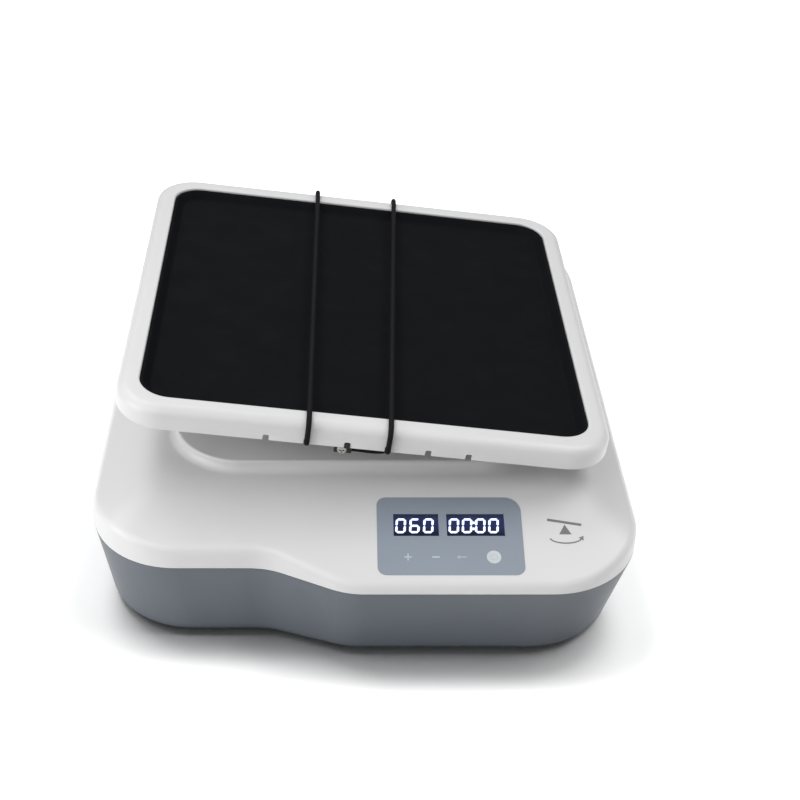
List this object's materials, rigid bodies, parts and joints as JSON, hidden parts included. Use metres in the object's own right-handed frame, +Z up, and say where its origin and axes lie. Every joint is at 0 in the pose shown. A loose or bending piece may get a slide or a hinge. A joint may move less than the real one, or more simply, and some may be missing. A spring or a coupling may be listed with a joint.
{
  "type": "orbital shaker",
  "caption": "Nutating orbital shaker: a tilting square platform with rubber mat and elastic cords on a two-shell case with a sloping control panel.",
  "frame": {"origin": "on the surface the feet stand on, directly under the drive spindle", "axes": "+X to the operator's right, +Y to the rear, away from the operator, +Z up along the drive spindle"},
  "size_m": [0.307, 0.3646, 0.1432],
  "materials": {
    "case_white": "fine satin moulded ABS",
    "case_grey": "fine satin moulded ABS",
    "tray_white": "satin moulded ABS",
    "mat_rubber": "matt ribless rubber",
    "foot_rubber": "matt",
    "cord_black": "braided sleeve over elastic core",
    "black_plastic": "matt moulded",
    "panel_film": "printed polycarbonate film",
    "display_lens": "dark tinted lens over a lit display",
    "circuit_board": "solder mask",
    "zinc_steel": "zinc plated",
    "bearing_steel": "ground",
    "machined_aluminium": "machined",
    "motor_can": "satin",
    "belt_rubber": "matt",
    "pulley_plastic": "moulded",
    "inner_nylon": "moulded"
  },
  "bodies": {
    "case": {"base_shell": "case_grey", "top_cover": "case_white", "rubber_feet": "foot_rubber", "case_screws": "zinc_steel", "control_overlay": "panel_film", "speed_display": "display_lens", "time_display": "display_lens", "display_board": "circuit_board", "display_board_screws": "zinc_steel", "touch_key_springs": "zinc_steel", "control_board": "circuit_board", "power_switch_frame": "black_plastic", "power_inlet": "black_plastic", "chassis_plate": "zinc_steel", "chassis_screws": "zinc_steel", "bearing_housing": "machined_aluminium", "housing_screws": "zinc_steel", "lower_spindle_bearing": "bearing_steel", "upper_spindle_bearing": "bearing_steel", "anti_rotation_post": "zinc_steel", "speed_sensor": "circuit_board", "drive_belt": "belt_rubber", "motor": "motor_can", "motor_screws": "zinc_steel"},
    "spindle": {"spindle": "machined_aluminium", "pin_retaining_ring": "zinc_steel", "driven_pulley": "pulley_plastic", "sensor_magnet": "bearing_steel"},
    "platform": {"platform_tray": "tray_white", "non_slip_mat": "mat_rubber", "support_plate": "machined_aluminium", "plate_screws": "zinc_steel", "platform_hub": "machined_aluminium", "hub_screws": "zinc_steel", "lower_hub_bearing": "bearing_steel", "upper_hub_bearing": "bearing_steel", "hub_spacer": "zinc_steel", "anti_rotation_fork": "inner_nylon", "elastic_cord_left": "cord_black", "elastic_cord_right": "cord_black", "cord_stops": "black_plastic", "cord_clip": "black_plastic", "cord_clip_screw": "zinc_steel"},
    "motor_rotor": {"motor_shaft": "bearing_steel", "motor_pulley": "machined_aluminium"},
    "switch_rocker": {"power_switch_rocker": "black_plastic"}
  },
  "joints": [
    {"name": "spindle_spin", "type": "hinge", "parent": "case", "child": "spindle", "pos_m": [0, 0, 0.055], "axis": [0, 0, 1], "continuous": true},
    {"name": "platform_swing", "type": "hinge", "parent": "spindle", "child": "platform", "pos_m": [0, 0, 0.1074], "axis": [0.1219, 0, 0.9925], "continuous": true},
    {"name": "motor_spin", "type": "hinge", "parent": "case", "child": "motor_rotor", "pos_m": [0, 0.088, 0.03], "axis": [0, 0, 1], "continuous": true},
    {"name": "switch_tilt", "type": "hinge", "parent": "case", "child": "switch_rocker", "pos_m": [0.062, 0.168, 0.031], "axis": [1, 0, 0], "range_deg": [-16, 0]}
  ],
  "couplings": [
    {"joint": "spindle_spin", "follows": "platform_swing", "ratio": -1},
    {"joint": "motor_spin", "follows": "platform_swing", "ratio": -4}
  ]
}
